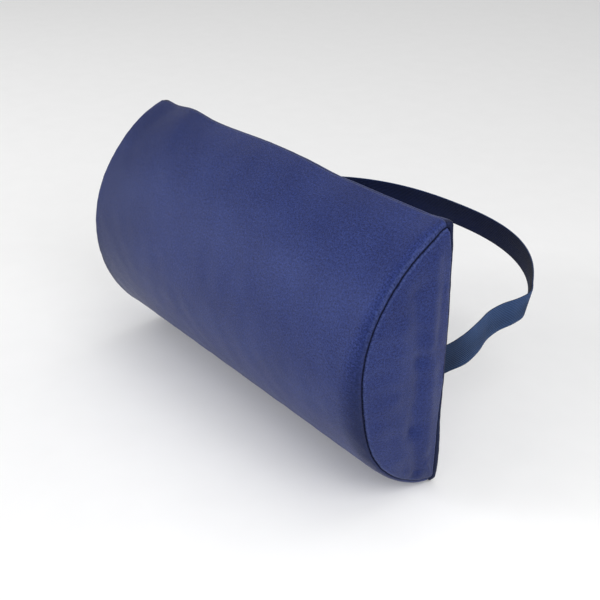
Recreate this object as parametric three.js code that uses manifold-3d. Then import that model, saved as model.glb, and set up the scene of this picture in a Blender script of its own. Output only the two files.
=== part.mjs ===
// Half-round lumbar support cushion: a D-section foam block in a sewn, zipped cover, with an
// elastic strap that loops behind it and holds it to a chair's backrest.
//
// Millimetres, +Z up. The origin is the middle of the flat back face. +X runs along the roll,
// +Y points backwards, out of the back face towards the chair, and the crown faces -Y.

import * as THREE from "three";
import { mergeVertices } from "three/addons/utils/BufferGeometryUtils.js";
import Module from "manifold-3d";

const wasm = await Module();
wasm.setup();

// ---------------------------------------------------------------- driving dimensions

const WIDTH = 350; // along X, over both end panels
const HEIGHT = 208; // of the flat back
const DEPTH = 82; // from the flat back to the crown
const FABRIC = 1.0; // cover cloth, doubled where it is turned
const GAP = 0.3; // between neighbouring pieces

const SEAM_ALLOWANCE = 8; // width of the turned edges inside the cover
const SEAM_THICK = 1.6; // two overlocked layers
const FOAM_BACK = 4.2; // depth of the foam's flat face behind the cover's back

const STRAP_WIDTH = 25;
const STRAP_THICK = 1.3;
const STRAP_INSET = 2.15; // strap centreline in from the outside of the end panel
const STRAP_TUCK = 11; // length of each end that is sewn inside the seam
const STRAP_PIVOT_Y = 14; // where the free loop starts to swing

const ZIP_Z = -58; // height of the zip on the back face
const ZIP_OPENING = 9; // between the turned edges of the back panels
const TAPE = { inner: 1.4, outer: 12, thick: 0.8, left: -148, right: 152 };
const COIL = { inner: 0.3, outer: 2.6, low: -1.0, high: 1.0, left: -138, right: 143.4 };

const SLIDER_X = 140.25; // middle of the slider with the zip closed
const SLIDER_LENGTH = 11.5;
const SLIDER_HALF = 3.9; // half width at the mouth
const SLIDER_TAIL_HALF = 3.5; // half width at the tail
const PLATE = 1.2; // thickness of each slider plate
const TOP_PLATE_Y = 1.3;
const BOTTOM_PLATE_Y = -2.4;
const BAIL = { half: 0.9, reach: 3.5, wall: 1.0, inside: 2.4 };
const PULL = { length: 24, half: 2.5, thick: 1.2, window: 5.0, windowHalf: 1.3, bar: 0.65 };

// Worked out from those.
const ARC_RADIUS = (HEIGHT ** 2 / 4 + DEPTH ** 2) / (2 * DEPTH);
const ARC_CENTRE_Y = ARC_RADIUS - DEPTH;
const HALF = WIDTH / 2;
const BACK_INSIDE = -(FABRIC + GAP); // first free plane inside the back panels
const PANEL_END = HALF - FABRIC - GAP; // where the long panels stop, short of the end panels
const SEAM_END = PANEL_END - SEAM_THICK; // inner face of the end seam's turned edges
const STRAP_X = HALF - STRAP_INSET;
const ARC_STEPS = 56;

// ---------------------------------------------------------------- materials

const navyCloth = { color: 0x4e5890, roughness: 0.8, metalness: 0 };
const seamCloth = { color: 0x3f4980, roughness: 0.9, metalness: 0 };
const foam = { color: 0xe6dfc6, roughness: 0.95, metalness: 0 };
const elastic = { color: 0x33405f, roughness: 0.75, metalness: 0 };
const zipTape = { color: 0x2c3560, roughness: 0.9, metalness: 0 };
const zipCoil = { color: 0x232a4a, roughness: 0.4, metalness: 0 };
const zipMetal = { color: 0x8d9096, roughness: 0.35, metalness: 1 };

// ---------------------------------------------------------------- solids

/** A manifold-3d solid of a closed three.js geometry. */
function solidOf(geometry) {
  const bare = geometry.index ? geometry.toNonIndexed() : geometry.clone();
  bare.deleteAttribute("normal");
  bare.deleteAttribute("uv");
  const merged = mergeVertices(bare, 1e-4);
  return new wasm.Manifold(
    new wasm.Mesh({
      numProp: 3,
      vertProperties: new Float32Array(merged.attributes.position.array),
      triVerts: new Uint32Array(merged.index.array),
    }),
  );
}

/** The three.js geometry of a manifold-3d solid. */
function geometryOf(solid) {
  const mesh = solid.getMesh();
  const geometry = new THREE.BufferGeometry();
  geometry.setAttribute("position", new THREE.BufferAttribute(mesh.vertProperties, 3));
  geometry.setIndex(new THREE.BufferAttribute(mesh.triVerts, 1));
  geometry.computeVertexNormals();
  return geometry;
}

const union = (...geometries) => geometryOf(geometries.map(solidOf).reduce((a, b) => a.add(b)));

const subtract = (geometry, ...tools) =>
  geometryOf(tools.map(solidOf).reduce((a, b) => a.subtract(b), solidOf(geometry)));

/** A box from its lowest to its highest corner. */
function block([x0, y0, z0], [x1, y1, z1]) {
  const box = new THREE.BoxGeometry(x1 - x0, y1 - y0, z1 - z0);
  return box.translate((x0 + x1) / 2, (y0 + y1) / 2, (z0 + z1) / 2);
}

/** Extrudes a shape drawn in (Y, Z) along X, from x0 to x1. */
function alongX(shape, x0, x1) {
  const geometry = new THREE.ExtrudeGeometry(shape, {
    depth: x1 - x0,
    bevelEnabled: false,
    curveSegments: ARC_STEPS,
  });
  const turn = new THREE.Matrix4().makeBasis(
    new THREE.Vector3(0, 1, 0),
    new THREE.Vector3(0, 0, 1),
    new THREE.Vector3(1, 0, 0),
  );
  return geometry.applyMatrix4(turn).translate(x0, 0, 0);
}

/** Extrudes a shape drawn in (X, Z) along Y, from y0 to y1. */
function alongY(shape, y0, y1) {
  const geometry = new THREE.ExtrudeGeometry(shape, { depth: y1 - y0, bevelEnabled: false });
  return geometry.rotateX(Math.PI / 2).translate(0, y1, 0);
}

// ---------------------------------------------------------------- the D section

/** Angle of the arc's upper end, where a circle `inset` inside the outline meets y = back. */
const arcStart = (inset, back) => Math.acos((back - ARC_CENTRE_Y) / (ARC_RADIUS - inset));

/** Adds the D's arc to a path, from the top round the crown to the bottom, or backwards. */
function addArc(path, inset, back, backwards = false) {
  const start = arcStart(inset, back);
  const ends = backwards ? [2 * Math.PI - start, start] : [start, 2 * Math.PI - start];
  path.absarc(ARC_CENTRE_Y, 0, ARC_RADIUS - inset, ...ends, backwards);
}

/** A D `inset` inside the cover's outline, with its flat side at y = back. */
function dShape(inset, back) {
  const shape = new THREE.Shape();
  addArc(shape, inset, back);
  shape.closePath();
  return shape;
}

// ---------------------------------------------------------------- pieces

const foamCore = () => alongX(dShape(FABRIC + GAP, -FOAM_BACK), GAP - SEAM_END, SEAM_END - GAP);

/** The long panel that wraps from the top of the back, over the crown, to the bottom. */
function frontPanel() {
  const shape = new THREE.Shape();
  addArc(shape, 0, BACK_INSIDE);
  addArc(shape, FABRIC, BACK_INSIDE, true);
  shape.closePath();
  return alongX(shape, -PANEL_END, PANEL_END);
}

/** A notch in the end of the back panel and its seam, which the strap's tucked end fills. */
function strapNotch(side) {
  const inner = side * (STRAP_X - STRAP_THICK / 2 - GAP);
  const outer = side * HALF;
  const halfWidth = STRAP_WIDTH / 2 + GAP;
  return block(
    [Math.min(inner, outer), -STRAP_TUCK - GAP, -halfWidth],
    [Math.max(inner, outer), STRAP_TUCK, halfWidth],
  );
}

function backPanel(bottom, top) {
  return block([-PANEL_END, -FABRIC, bottom], [PANEL_END, 0, top]);
}

const BACK_TOP = HEIGHT / 2 - GAP;
const backPanelUpper = () =>
  subtract(backPanel(ZIP_Z + ZIP_OPENING / 2, BACK_TOP), strapNotch(-1), strapNotch(1));
const backPanelLower = () => backPanel(-BACK_TOP, ZIP_Z - ZIP_OPENING / 2);

function endPanel(side) {
  const [x0, x1] = side > 0 ? [HALF - FABRIC, HALF] : [-HALF, FABRIC - HALF];
  return alongX(dShape(0, 0), x0, x1);
}

/** The overlocked edges that join an end panel to the front and back panels. */
function endSeam(side) {
  const outerInset = FABRIC + GAP;
  const ring = dShape(outerInset, BACK_INSIDE);
  const hole = new THREE.Path();
  addArc(hole, outerInset + SEAM_ALLOWANCE, BACK_INSIDE - SEAM_ALLOWANCE);
  hole.closePath();
  ring.holes.push(hole);
  const [x0, x1] = side > 0 ? [SEAM_END, PANEL_END] : [-PANEL_END, -SEAM_END];
  return subtract(alongX(ring, x0, x1), strapNotch(side));
}

/** The overlocked edges that join the front panel to the back panel, along one long edge. */
function longSeam(side) {
  const outer = side * (HEIGHT / 2 - 3);
  const inner = outer - side * SEAM_ALLOWANCE;
  return block(
    [GAP - SEAM_END, BACK_INSIDE - SEAM_THICK, Math.min(inner, outer)],
    [SEAM_END - GAP, BACK_INSIDE, Math.max(inner, outer)],
  );
}

/** One end of the strap: tucked into the seam, and free behind it as far as the pivot. */
function strapEnd(side) {
  const middle = side * STRAP_X;
  return block(
    [middle - STRAP_THICK / 2, -STRAP_TUCK, -STRAP_WIDTH / 2],
    [middle + STRAP_THICK / 2, STRAP_PIVOT_Y - GAP, STRAP_WIDTH / 2],
  );
}

/** Where the loop runs, in plan, from the right-hand end round the back to the left-hand end. */
const STRAP_ROUTE = [
  [STRAP_X, STRAP_PIVOT_Y],
  [169, 34],
  [162, 55],
  [156, 76],
  [153, 97],
  [149, 115],
  [139, 139],
  [115, 161],
  [82, 179],
  [44, 191],
  [0, 195],
  [-44, 191],
  [-82, 178],
  [-112, 160],
  [-134, 139],
  [-148, 116],
  [-156, 88],
  [-162, 60],
  [-168.5, 36],
  [-STRAP_X, STRAP_PIVOT_Y],
];

/** The loop, drawn in a group whose origin is the pivot line. */
function strapLoop() {
  const points = STRAP_ROUTE.map(([x, y]) => new THREE.Vector3(x, y - STRAP_PIVOT_Y, 0));
  const section = new THREE.Shape();
  const [w, t] = [STRAP_WIDTH / 2, STRAP_THICK / 2];
  section.moveTo(-w, -t);
  section.lineTo(w, -t);
  section.lineTo(w, t);
  section.lineTo(-w, t);
  section.closePath();
  return new THREE.ExtrudeGeometry(section, {
    steps: 80,
    extrudePath: new THREE.CatmullRomCurve3(points, false, "centripetal"),
  });
}

/** One zip tape, above (side 1) or below (side -1) the zip's centreline. */
function zipTapeStrip(side) {
  const [a, b] = [ZIP_Z + side * TAPE.inner, ZIP_Z + side * TAPE.outer];
  return block(
    [TAPE.left, BACK_INSIDE - TAPE.thick, Math.min(a, b)],
    [TAPE.right, BACK_INSIDE, Math.max(a, b)],
  );
}

/** One row of the nylon coil, as the bar that its turns fill, with an eight-sided section. */
function coilRow(side) {
  const { inner, outer, low, high } = COIL;
  const chamfer = (high - low) / 4;
  const shape = new THREE.Shape();
  shape.moveTo(low, inner + chamfer);
  shape.lineTo(low + chamfer, inner);
  shape.lineTo(high - chamfer, inner);
  shape.lineTo(high, inner + chamfer);
  shape.lineTo(high, outer - chamfer);
  shape.lineTo(high - chamfer, outer);
  shape.lineTo(low + chamfer, outer);
  shape.lineTo(low, outer - chamfer);
  shape.closePath();
  const bar = alongX(shape, COIL.left, COIL.right);
  if (side < 0) bar.rotateX(Math.PI);
  return bar.translate(0, 0, ZIP_Z);
}

const topStop = (side) => {
  const [a, b] = [ZIP_Z + side * 0.4, ZIP_Z + side * 3.2];
  const x = COIL.right + 3;
  return block([x, -1.0, Math.min(a, b)], [x + 2.6, 1.2, Math.max(a, b)]);
};

const bottomStop = () =>
  block([COIL.left - 4, -1.0, ZIP_Z - 3.4], [COIL.left - GAP, 1.3, ZIP_Z + 3.4]);

/** Plan of a slider plate: wide at the mouth (+X), narrow at the tail. */
function platePlan() {
  const end = SLIDER_LENGTH / 2;
  const shape = new THREE.Shape();
  shape.moveTo(-end, -SLIDER_TAIL_HALF + 0.8);
  shape.lineTo(-end + 0.8, -SLIDER_TAIL_HALF);
  shape.lineTo(end - 2.5, -SLIDER_HALF);
  shape.lineTo(end, -SLIDER_HALF + 1.6);
  shape.lineTo(end, SLIDER_HALF - 1.6);
  shape.lineTo(end - 2.5, SLIDER_HALF);
  shape.lineTo(-end + 0.8, SLIDER_TAIL_HALF);
  shape.lineTo(-end, SLIDER_TAIL_HALF - 0.8);
  shape.closePath();
  return shape;
}

/** The slider body in its own frame: origin on the zip's centreline, at the slider's middle. */
function sliderBody() {
  const plan = platePlan();
  const bailBase = TOP_PLATE_Y + PLATE;
  const bailTop = bailBase + BAIL.inside;
  const post = block([3.55, BOTTOM_PLATE_Y - 0.2, -1.0], [5.15, TOP_PLATE_Y + 0.2, 1.0]);
  const rail = (side) =>
    block(
      [1 - SLIDER_LENGTH / 2, -0.6, side > 0 ? 3.0 : -SLIDER_TAIL_HALF],
      [SLIDER_LENGTH / 2 - 3, TOP_PLATE_Y + 0.2, side > 0 ? SLIDER_TAIL_HALF : -3.0],
    );
  const leg = (side) =>
    block(
      [side > 0 ? BAIL.reach - BAIL.wall : -BAIL.reach, bailBase - 0.2, -BAIL.half],
      [side > 0 ? BAIL.reach : BAIL.wall - BAIL.reach, bailTop + 0.2, BAIL.half],
    );
  const bailBar = [
    [-BAIL.reach, bailTop, -BAIL.half],
    [BAIL.reach, bailTop + BAIL.wall, BAIL.half],
  ];
  return union(
    alongY(plan, TOP_PLATE_Y, bailBase),
    alongY(plan, BOTTOM_PLATE_Y - PLATE, BOTTOM_PLATE_Y),
    post,
    rail(1),
    rail(-1),
    leg(1),
    leg(-1),
    block(...bailBar),
  );
}

/** Height of the pull's crossbar, in the middle of the bail's window. */
const PULL_Y = TOP_PLATE_Y + PLATE + BAIL.inside / 2;

/** The pull in its own frame: origin on the crossbar, the tab lying towards -X. */
function pullTab() {
  const { length, half, thick, window: windowEnd, windowHalf, bar } = PULL;
  const shape = new THREE.Shape();
  shape.moveTo(bar, -half + 0.6);
  shape.lineTo(bar, half - 0.6);
  shape.lineTo(bar - 0.6, half);
  shape.lineTo(-windowEnd - 1.2, half);
  shape.lineTo(-windowEnd - 3.0, half - 0.7);
  shape.lineTo(-length + 4, half - 0.3);
  shape.absarc(-length + half, 0, half - 0.3, Math.PI / 2, (3 * Math.PI) / 2, false);
  shape.lineTo(-windowEnd - 3.0, -half + 0.7);
  shape.lineTo(-windowEnd - 1.2, -half);
  shape.lineTo(bar - 0.6, -half);
  shape.closePath();

  const eye = new THREE.Path();
  eye.moveTo(-bar, -windowHalf);
  eye.lineTo(-windowEnd, -windowHalf);
  eye.lineTo(-windowEnd, windowHalf);
  eye.lineTo(-bar, windowHalf);
  eye.closePath();

  const gripSlot = new THREE.Path();
  gripSlot.absarc(-length + 4.2, 0, 1.0, Math.PI / 2, (3 * Math.PI) / 2, false);
  gripSlot.absarc(-length + 8.2, 0, 1.0, -Math.PI / 2, Math.PI / 2, false);
  gripSlot.closePath();

  shape.holes.push(eye, gripSlot);
  return alongY(shape, -thick / 2, thick / 2);
}

// ---------------------------------------------------------------- assembly

/** A named mesh with a material of its own. */
function piece(name, geometry, look) {
  const mesh = new THREE.Mesh(geometry, new THREE.MeshStandardMaterial(look));
  mesh.name = name;
  return mesh;
}

const cover = new THREE.Group();
cover.add(
  piece("front_panel", frontPanel(), navyCloth),
  piece("back_panel_upper", backPanelUpper(), navyCloth),
  piece("back_panel_lower", backPanelLower(), navyCloth),
  piece("end_panel_right", endPanel(1), navyCloth),
  piece("end_panel_left", endPanel(-1), navyCloth),
  piece("seam_allowance_right", endSeam(1), seamCloth),
  piece("seam_allowance_left", endSeam(-1), seamCloth),
  piece("seam_allowance_top", longSeam(1), seamCloth),
  piece("seam_allowance_bottom", longSeam(-1), seamCloth),
);

const zip = new THREE.Group();
zip.add(
  piece("zip_tape_upper", zipTapeStrip(1), zipTape),
  piece("zip_tape_lower", zipTapeStrip(-1), zipTape),
  piece("zip_coil_upper", coilRow(1), zipCoil),
  piece("zip_coil_lower", coilRow(-1), zipCoil),
  piece("zip_top_stop_upper", topStop(1), zipMetal),
  piece("zip_top_stop_lower", topStop(-1), zipMetal),
  piece("zip_bottom_stop", bottomStop(), zipMetal),
);

const pull = new THREE.Group();
pull.position.set(0, PULL_Y, 0);
pull.add(piece("zip_pull", pullTab(), zipMetal));

const slider = new THREE.Group();
slider.position.set(SLIDER_X, 0, ZIP_Z);
slider.add(piece("zip_slider", sliderBody(), zipMetal), pull);

const strap = new THREE.Group();
strap.position.set(0, STRAP_PIVOT_Y, 0);
strap.add(piece("strap_loop", strapLoop(), elastic));

const cushion = new THREE.Group();
cushion.add(
  piece("foam_core", foamCore(), foam),
  cover,
  zip,
  slider,
  piece("strap_end_right", strapEnd(1), elastic),
  piece("strap_end_left", strapEnd(-1), elastic),
  strap,
);

export default cushion;
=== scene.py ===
"""Half-round lumbar cushion: a sewn cloth cover over a foam block, a coil zip and an elastic strap."""

import math

import bmesh
import bpy
import numpy as np
from mathutils import Matrix, Vector


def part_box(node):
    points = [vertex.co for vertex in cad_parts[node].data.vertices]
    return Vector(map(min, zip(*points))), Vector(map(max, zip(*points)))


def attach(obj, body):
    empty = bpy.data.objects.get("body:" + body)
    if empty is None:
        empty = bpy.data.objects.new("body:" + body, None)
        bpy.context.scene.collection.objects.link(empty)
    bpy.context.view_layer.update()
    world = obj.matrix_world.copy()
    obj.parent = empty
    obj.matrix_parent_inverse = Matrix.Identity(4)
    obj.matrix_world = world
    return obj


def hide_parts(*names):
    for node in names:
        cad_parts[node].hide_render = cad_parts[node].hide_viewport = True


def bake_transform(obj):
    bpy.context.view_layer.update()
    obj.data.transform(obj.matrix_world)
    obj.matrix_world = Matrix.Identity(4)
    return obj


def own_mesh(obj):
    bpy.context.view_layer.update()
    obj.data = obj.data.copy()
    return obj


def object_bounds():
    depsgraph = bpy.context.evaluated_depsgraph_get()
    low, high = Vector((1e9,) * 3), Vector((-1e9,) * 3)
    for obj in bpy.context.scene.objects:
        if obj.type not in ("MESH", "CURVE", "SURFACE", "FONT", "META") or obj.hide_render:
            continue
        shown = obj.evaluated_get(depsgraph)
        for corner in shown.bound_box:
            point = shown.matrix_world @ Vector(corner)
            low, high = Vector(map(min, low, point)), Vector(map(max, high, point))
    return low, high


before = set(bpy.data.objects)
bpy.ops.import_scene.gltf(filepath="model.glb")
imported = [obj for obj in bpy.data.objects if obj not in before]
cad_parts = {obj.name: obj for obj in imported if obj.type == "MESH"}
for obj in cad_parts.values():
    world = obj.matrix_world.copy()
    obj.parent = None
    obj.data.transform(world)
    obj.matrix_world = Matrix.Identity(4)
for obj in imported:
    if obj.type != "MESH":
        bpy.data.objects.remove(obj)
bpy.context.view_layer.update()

MM = 0.001

# ------------------------------------------------------------------ sizes from the frame

end_low, end_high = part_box("end_panel_right")
HALF_LENGTH = end_high.x
HALF_HEIGHT = end_high.z
DEPTH = -end_low.y
RADIUS = (HALF_HEIGHT**2 + DEPTH**2) / (2 * DEPTH)
ARC_CENTRE_Y = RADIUS - DEPTH

ZIP_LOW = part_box("back_panel_lower")[1].z
ZIP_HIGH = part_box("back_panel_upper")[0].z
ZIP_Z = (ZIP_LOW + ZIP_HIGH) / 2

strap_low, strap_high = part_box("strap_loop")
STRAP_WIDTH = strap_high.z - strap_low.z
STRAP_X = (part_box("strap_end_right")[0].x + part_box("strap_end_right")[1].x) / 2

# ------------------------------------------------------------------ sizes of the sewn cover

CLOTH = 0.8 * MM
SEAM_X = HALF_LENGTH - 2 * MM  # where the end seams lie along the roll
ROLL = 2.1 * MM  # how near a seam the cloth starts to turn in
ROLL_DEPTH = 2.1 * MM
FLANGE = 6 * MM  # edge turned into the cover at each seam
HEM = 9 * MM  # edge turned under beside the zip
HEM_RADIUS = 0.85 * MM
HEM_DRAWN_IN = 5 * MM  # keeps the hem's ends clear of the end seams
BACK_ROLL = 6 * MM  # cloth in the back panels' rolled edges
BACK_ROLL_WIDTH = 3.2 * MM
SLOT_LEFT, SLOT_RIGHT = -147.6 * MM, 151.6 * MM  # where the slot over the zip ends
SLOT_FADE = 3 * MM
SIDE_GAP = 0.06 * MM  # between the turned edges of two panels
SEAM_MARK = 2.5 * MM  # how far from a seam its mark reaches; the mark drives the cover's lighter band of wear and painted highlight, and the painted shade in the seams' grooves
PITCH = 2.5 * MM  # of the panels' grids, away from the seams
FINE = 0.3 * MM  # and on the seams

# ------------------------------------------------------------------ small helpers


def smooth(t):
    """0 below 0, 1 above 1, and an even S between."""
    t = np.clip(t, 0, 1)
    return t * t * (3 - 2 * t)


def bump(t):
    """A bell of height 1 at t = 0, and 1/e high at t = 1."""
    return np.exp(-(np.asarray(t) ** 2))


def ripple(s, wavelengths, phase):
    """An uneven wave along s, between -1 and 1."""
    waves = [np.sin(2 * np.pi * s / w + phase * (i + 1)) for i, w in enumerate(wavelengths)]
    return sum(waves) / len(waves)


def graded(length, fine, coarse, growth=1.35):
    """Places from 0 to 1 along a length, close together at both ends."""
    steps = []
    step = fine
    while step < coarse and sum(steps) < length / 2:
        steps.append(step)
        step *= growth
    middle = length - 2 * sum(steps)
    count = max(1, round(middle / coarse))
    steps = steps + [middle / count] * count + steps[::-1]
    return np.concatenate([[0], np.cumsum(steps)]) / sum(steps)


def unit(vectors):
    length = np.linalg.norm(vectors, axis=-1, keepdims=True)
    return vectors / np.maximum(length, 1e-12)


def grid_normals(points):
    """Unit normals of a grid of points, along the cross product of its two directions."""
    return unit(np.cross(np.gradient(points, axis=0), np.gradient(points, axis=1)))


def cubic_weights(places, count):
    """Catmull-Rom weights that read `count` even samples of 0..1 at the given places."""
    position = np.asarray(places) * (count - 1)
    first = np.clip(np.floor(position).astype(int), 0, count - 2)
    w = position - first
    weights = np.zeros((len(position), count))
    rows = np.arange(len(position))
    parts = (
        (-1, -0.5 * w + w**2 - 0.5 * w**3),
        (0, 1 - 2.5 * w**2 + 1.5 * w**3),
        (1, 0.5 * w + 2 * w**2 - 1.5 * w**3),
        (2, -0.5 * w**2 + 0.5 * w**3),
    )
    for offset, part in parts:
        np.add.at(weights, (rows, np.clip(first + offset, 0, count - 1)), part)
    return weights


def grid_faces(rows, columns, first=0):
    """The quads of a grid of vertices stored row by row."""
    i, j = np.meshgrid(np.arange(rows - 1), np.arange(columns - 1), indexing="ij")
    a = first + i * columns + j
    return np.stack([a, a + columns, a + columns + 1, a + 1], axis=-1).reshape(-1, 4)


def new_object(name, vertices, faces, uv=None, marks=None):
    """A smooth mesh object. uv is in metres of cloth, and marks are named numbers per vertex."""
    mesh = bpy.data.meshes.new(name)
    mesh.from_pydata(np.asarray(vertices).tolist(), [], [list(map(int, f)) for f in faces])
    for mark, values in (marks or {}).items():
        layer = mesh.attributes.new(mark, "FLOAT", "POINT")
        layer.data.foreach_set("value", np.asarray(values, np.float32).ravel())
    if uv is not None:
        corner = np.zeros(len(mesh.loops), np.int32)
        mesh.loops.foreach_get("vertex_index", corner)
        layer = mesh.uv_layers.new(name="weave")
        layer.data.foreach_set("uv", np.asarray(uv, np.float32).reshape(-1, 2)[corner].ravel())
    mesh.shade_smooth()
    piece = bpy.data.objects.new(name, mesh)
    bpy.context.scene.collection.objects.link(piece)
    return piece


def tidy_mesh(piece, outward_at):
    """Welds doubled points and turns every face outwards. outward_at is a place well outside."""
    work = bmesh.new()
    work.from_mesh(piece.data)
    bmesh.ops.remove_doubles(work, verts=work.verts, dist=0.01 * MM)
    bmesh.ops.recalc_face_normals(work, faces=work.faces)
    target = Vector(outward_at)
    nearest = min(work.faces, key=lambda f: (f.calc_center_median() - target).length)
    if nearest.normal.dot(target - nearest.calc_center_median()) < 0:
        bmesh.ops.reverse_faces(work, faces=work.faces)
    work.to_mesh(piece.data)
    work.free()


def travelled(points):
    """Length along a polyline at each of its points."""
    return np.concatenate([[0], np.cumsum(np.linalg.norm(np.diff(points, axis=0), axis=1))])


def swept(name, sections, outward_at, uv=None, marks=None):
    """A closed solid through a row of loops, with flat ends. uv has one column more than them."""
    rows, columns = sections.shape[:2]
    points = np.concatenate([sections, sections[:, :1]], axis=1)
    faces = list(grid_faces(rows, columns + 1))
    faces += [list(range(columns))[::-1], [(rows - 1) * (columns + 1) + j for j in range(columns)]]
    piece = new_object(name, points.reshape(-1, 3), faces, uv, marks)
    tidy_mesh(piece, outward_at)
    return piece


def catmull_rom(points, step):
    """A smooth curve through the points, resampled at even steps of its length."""
    p = np.asarray(points, float)
    p = np.vstack([2 * p[0] - p[1], p, 2 * p[-1] - p[-2]])
    out = []
    for a, b, c, d in zip(p, p[1:], p[2:], p[3:]):
        da, db, dc = (np.sqrt(np.linalg.norm((q - r)[:2])) for q, r in ((b, a), (c, b), (d, c)))
        m1 = ((b - a) / da - (c - a) / (da + db) + (c - b) / db) * db
        m2 = ((c - b) / db - (d - b) / (db + dc) + (d - c) / dc) * db
        w = np.linspace(0, 1, 40, endpoint=False)[:, None]
        out.append(b + m1 * w + (3 * (c - b) - 2 * m1 - m2) * w**2 + (2 * (b - c) + m1 + m2) * w**3)
    curve = np.vstack(out + [p[-2:-1]])
    length = travelled(curve[:, :2])
    even = np.linspace(0, length[-1], max(2, round(length[-1] / step)) + 1)
    return np.stack([np.interp(even, length, curve[:, k]) for k in range(curve.shape[1])], -1), even


# ------------------------------------------------------------------ camera

CAMERA_PLACE = (0.548, -0.417, 0.345)
CAMERA_BACK = Vector((0.694, -0.544, 0.472)).normalized()
CAMERA_ROLL = -0.013

camera_right = Vector((0, 0, 1)).cross(CAMERA_BACK).normalized()
camera_up = CAMERA_BACK.cross(camera_right)
turned_right = camera_right * math.cos(CAMERA_ROLL) + camera_up * math.sin(CAMERA_ROLL)
turned_up = CAMERA_BACK.cross(turned_right)
camera_data = bpy.data.cameras.new("camera")
camera_data.lens = 57.0
camera_data.sensor_width = 36.0
camera = bpy.data.objects.new("camera", camera_data)
axes = Matrix((turned_right, turned_up, CAMERA_BACK)).transposed().to_4x4()
camera.matrix_world = Matrix.Translation(CAMERA_PLACE) @ axes
bpy.context.scene.collection.objects.link(camera)
bpy.context.scene.camera = camera

# ------------------------------------------------------------------ the cover's form
#
# `along` runs from -1 at the left end seam to 1 at the right one. `turn` runs round the crown
# from 1 at the top of the back, by 0 at the crown, to -1 at the bottom. `rise` runs up the flat
# back from -1 to 1, and `across` runs over an end panel from 0 at the crown to 1 at the back.


def seam_inset(turn):
    """How far an end seam lies inside the roll's outline: most at the crown, least at the bottom."""
    level = 5.9 - 2.4 * smooth((0.2 - turn) / 0.9) - 2.6 * smooth((turn - 0.88) / 0.1)
    wander = 0.25 * ripple(turn, (0.16, 0.071, 0.11), 1.3)
    return (level + wander + 4.4 * bump((turn + 0.12) / 0.28)) * MM


def shoulder(along, turn):
    """0 along the roll, rising to 1 at an end seam, where the cloth rounds over."""
    ends = 2.5 * smooth((turn - 0.8) / 0.2) + 2.5 * smooth((-turn - 0.6) / 0.3)
    width = (8 + 8 * bump((turn + 0.1) / 0.5) - ends) * MM
    t = 0.97 * np.clip((np.abs(along) * SEAM_X - (SEAM_X - width)) / width, 0, 1)
    return (1 - np.sqrt(1 - t**2)) / (1 - math.sqrt(1 - 0.97**2))


def outline_radius(along, turn):
    """Distance from the arc's centre line to the cloth. The left end is hardly drawn in."""
    slack = 0.2 * MM * bump((turn + 0.5) / 0.3)
    drawn = np.where(along > 0, 1.0, 0.05)
    return RADIUS - seam_inset(turn) * drawn * shoulder(along, turn) - slack


def top_lift(along):
    """The top seam isn't quite straight, and the cloth stands up in ears at its ends."""
    x = along * SEAM_X / MM
    waves = 3.0 * bump((x + 125) / 22) + 1.8 * bump((x + 15) / 45) - 1.0 * bump((x - 57) / 20)
    ears = 1.9 * smooth((np.abs(x) - 148) / 20)
    full = 2.0 * smooth((110 - x) / 90)
    return (waves + ears + full) * MM


def back_seam(z):
    """(x, y) of the right-hand back seam at height z, pushed outwards by the filling."""
    h = z / MM
    y = -2.4 + 4.6 * smooth((h + 62) / 60) - 0.6 * smooth((h - 30) / 40) - 2.5 * smooth((h - 80) / 18)
    x = 1.1 + 1.0 * bump((h + 65) / 25) + 0.3 * bump((h - 35) / 20)
    return SEAM_X + x * MM, y * MM


def long_seam(along, sign):
    """(radius, y) of the top seam, sign 1, or the bottom seam, sign -1."""
    ones = np.full_like(along, float(sign))
    radius = outline_radius(along, ones) + (top_lift(along) if sign > 0 else 0)
    corner_y = -2.8 * MM if sign > 0 else -3.6 * MM
    y = -0.8 * MM + (corner_y + 0.8 * MM) * np.abs(along) ** 14
    return radius, y


def long_seam_height(along, sign):
    radius, y = long_seam(along, sign)
    return sign * np.sqrt(radius**2 - (ARC_CENTRE_Y - y) ** 2)


def tuck_corners(points):
    """The bottom corners are drawn in and rounded."""
    for side in (-1, 1):
        away = points - np.array([side * SEAM_X, 0, -HALF_HEIGHT])
        weight = bump(np.linalg.norm(away, axis=-1) / (9 * MM))
        points = points + weight[..., None] * np.array([-side * 0.9, -0.6, 1.2]) * MM
    return points


def front_form(along, turn):
    share = smooth((np.abs(turn) - 0.5) / 0.5)
    angle = np.zeros_like(along)
    radius = outline_radius(along, turn)
    for sign in (1, -1):
        edge_radius, edge_y = long_seam(along, sign)
        plain = outline_radius(along, np.full_like(along, float(sign)))
        end = np.arccos((ARC_CENTRE_Y - edge_y) / edge_radius)
        angle = np.where(turn * sign > 0, turn * end, angle)
        radius = np.where(turn * sign > 0, radius + (edge_radius - plain) * share, radius)
    y = ARC_CENTRE_Y - radius * np.cos(angle)
    return tuck_corners(np.stack([along * SEAM_X, y, radius * np.sin(angle)], axis=-1))


def seam_rows(along, rise):
    """The back seams' (x, y) beside each point, and the long seams' y above and below it."""
    ones = np.ones_like(along)
    side_z = np.abs(rise) * np.where(rise > 0, long_seam_height(ones, 1), long_seam_height(ones, -1))
    x, y = back_seam(side_z)
    blend = (rise + 1) / 2
    corner = long_seam(ones, -1)[1] * (1 - blend) + long_seam(ones, 1)[1] * blend
    near_corner = smooth((1 - np.abs(rise)) / 0.06)
    x = SEAM_X + (x - SEAM_X) * near_corner
    y = corner + (y - corner) * near_corner
    middle = long_seam(along, -1)[1] * (1 - blend) + long_seam(along, 1)[1] * blend
    return x, y + middle - corner


def rolled(distance, reach, span, width):
    """Where a panel is that leaves its seam at a right angle and rolls over: how far in from the
    seam, and the share of its full height."""
    turned = math.pi / 2 * np.clip(distance / reach, 0, 1)
    beyond = np.clip(distance - reach, 0, None) * (span - width) / (span - reach)
    return width * (1 - np.cos(turned)) + beyond, np.sin(turned)


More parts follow.
